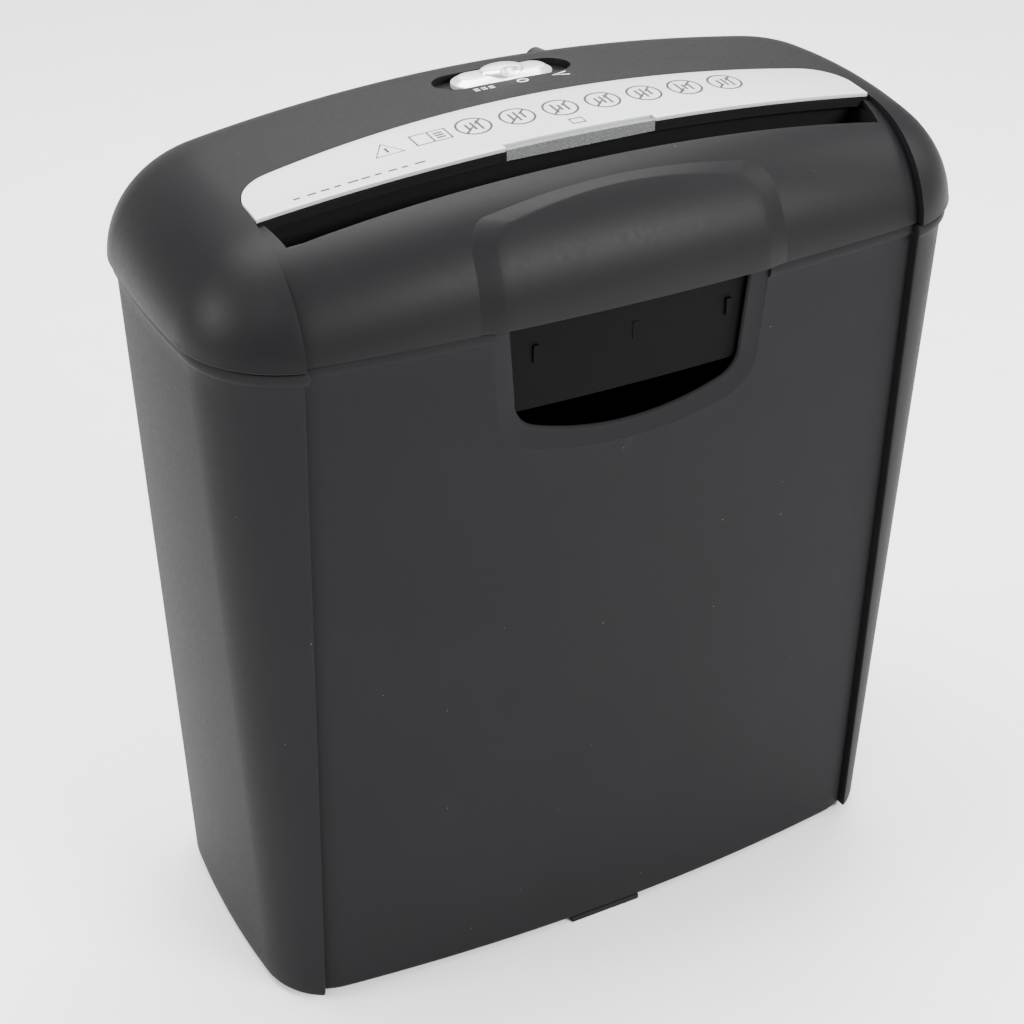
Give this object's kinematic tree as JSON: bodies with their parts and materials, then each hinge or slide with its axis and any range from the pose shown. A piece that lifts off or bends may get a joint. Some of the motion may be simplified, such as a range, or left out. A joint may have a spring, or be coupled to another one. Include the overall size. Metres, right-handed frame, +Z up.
{
  "type": "paper shredder",
  "caption": "Compact strip-cut paper shredder: a domed cutting head with a slide switch on a tapered oblong waste bin with a hand cut-out.",
  "frame": {"origin": "middle of the flat face that the bin stands on", "axes": "+X along the paper slot to the right seen from the front, +Y to the back, +Z up"},
  "size_m": [0.288, 0.1638, 0.3166],
  "materials": {
    "casing_black": "satin moulded",
    "inner_black": "matt moulded",
    "panel_silver": "fine brushed",
    "knob_silver": "satin silver paint",
    "strip_grey": "fine texture",
    "rubber_black": "matt",
    "frame_steel": "zinc plated",
    "cutter_steel": "hardened and oiled",
    "bush_bronze": "sintered",
    "gear_nylon": "natural nylon",
    "gear_steel": "sintered steel",
    "guide_plastic": "matt moulded",
    "motor_steel": "plated can",
    "magnet_dark": "ferrite",
    "copper": "copper segments",
    "board_green": "solder mask",
    "part_black": "moulded component",
    "part_blue": "shrink sleeve",
    "lead_red": "insulated wire",
    "screw_zinc": "zinc plated"
  },
  "bodies": {
    "bin": {"bin_shell": "casing_black", "bin_feet": "rubber_black"},
    "head": {"head_cover": "casing_black", "control_panel": "panel_silver", "sensor_cover": "strip_grey", "switch_body": "part_black", "throat_guide": "guide_plastic", "cable_gland": "rubber_black", "head_base": "inner_black", "casing_screws": "screw_zinc", "frame_plate_left": "frame_steel", "frame_plate_right": "frame_steel", "tie_rods": "frame_steel", "shaft_bushes_left": "bush_bronze", "shaft_bushes_right": "bush_bronze", "stripper_comb_front": "guide_plastic", "stripper_comb_rear": "guide_plastic", "gear_axles": "frame_steel", "axle_clips": "screw_zinc", "motor_can": "motor_steel", "motor_magnets": "magnet_dark", "motor_end_cap": "part_black", "motor_brushes": "copper", "motor_screws": "screw_zinc", "thermal_cutout": "part_black", "control_board": "board_green", "board_screws": "screw_zinc", "board_relay": "part_blue", "board_capacitor": "part_blue", "board_rectifier": "part_black", "board_terminals": "gear_nylon", "motor_leads": "lead_red", "switch_leads": "lead_red", "lever_pin": "screw_zinc", "lever_spring": "screw_zinc", "paper_switch": "part_black", "interlock_switch": "part_black", "interlock_spring": "screw_zinc"},
    "mode_switch": {"switch_knob": "knob_silver"},
    "motor_rotor": {"motor_shaft": "cutter_steel", "motor_armature": "magnet_dark", "motor_commutator": "copper", "motor_pinion": "copper"},
    "first_stage": {"first_gear": "gear_nylon"},
    "second_stage": {"second_gear": "gear_nylon"},
    "rear_cutter": {"cutter_shaft_rear": "cutter_steel", "cutter_discs_rear": "cutter_steel", "cutter_spacers_rear": "guide_plastic", "sync_gear_rear": "gear_steel", "shaft_clips_rear": "screw_zinc", "output_gear": "gear_steel"},
    "front_cutter": {"cutter_shaft_front": "cutter_steel", "cutter_discs_front": "cutter_steel", "cutter_spacers_front": "guide_plastic", "sync_gear_front": "gear_steel", "shaft_clips_front": "screw_zinc"},
    "sensor_lever": {"paper_lever": "guide_plastic"},
    "interlock": {"interlock_plunger": "gear_nylon"}
  },
  "joints": [
    {"name": "head_lift", "type": "slide", "parent": "bin", "child": "head", "axis": [0, 0, 1], "range_m": [0, 0.09]},
    {"name": "mode_slide", "type": "slide", "parent": "head", "child": "mode_switch", "axis": [1, 0, 0], "range_m": [-0.006, 0.006]},
    {"name": "motor_spin", "type": "hinge", "parent": "head", "child": "motor_rotor", "pos_m": [0, 0.0415, 0.272], "axis": [1, 0, 0], "continuous": true},
    {"name": "first_gear_spin", "type": "hinge", "parent": "head", "child": "first_stage", "pos_m": [0, 0.02667, 0.25713], "axis": [1, 0, 0], "continuous": true},
    {"name": "second_gear_spin", "type": "hinge", "parent": "head", "child": "second_stage", "pos_m": [0, 0.01144, 0.27315], "axis": [1, 0, 0], "continuous": true},
    {"name": "rear_cutter_spin", "type": "hinge", "parent": "head", "child": "rear_cutter", "pos_m": [0, -0.0115, 0.267], "axis": [1, 0, 0], "continuous": true},
    {"name": "front_cutter_spin", "type": "hinge", "parent": "head", "child": "front_cutter", "pos_m": [0, -0.0365, 0.267], "axis": [1, 0, 0], "continuous": true},
    {"name": "sensor_swing", "type": "hinge", "parent": "head", "child": "sensor_lever", "pos_m": [0, -0.0145, 0.293], "axis": [1, 0, 0], "range_deg": [0, 20], "stiffness_Nm_per_rad": 0.004, "springref_deg": -11.46},
    {"name": "interlock_press", "type": "slide", "parent": "head", "child": "interlock", "axis": [0, 0, 1], "range_m": [0, 0.003], "stiffness_N_per_m": 200, "springref_m": -0.002, "deforming": ["interlock_spring"]}
  ],
  "couplings": [
    {"joint": "first_gear_spin", "follows": "motor_spin", "ratio": -0.25},
    {"joint": "second_gear_spin", "follows": "motor_spin", "ratio": 0.075},
    {"joint": "rear_cutter_spin", "follows": "motor_spin", "ratio": -0.034615},
    {"joint": "front_cutter_spin", "follows": "motor_spin", "ratio": 0.034615}
  ]
}
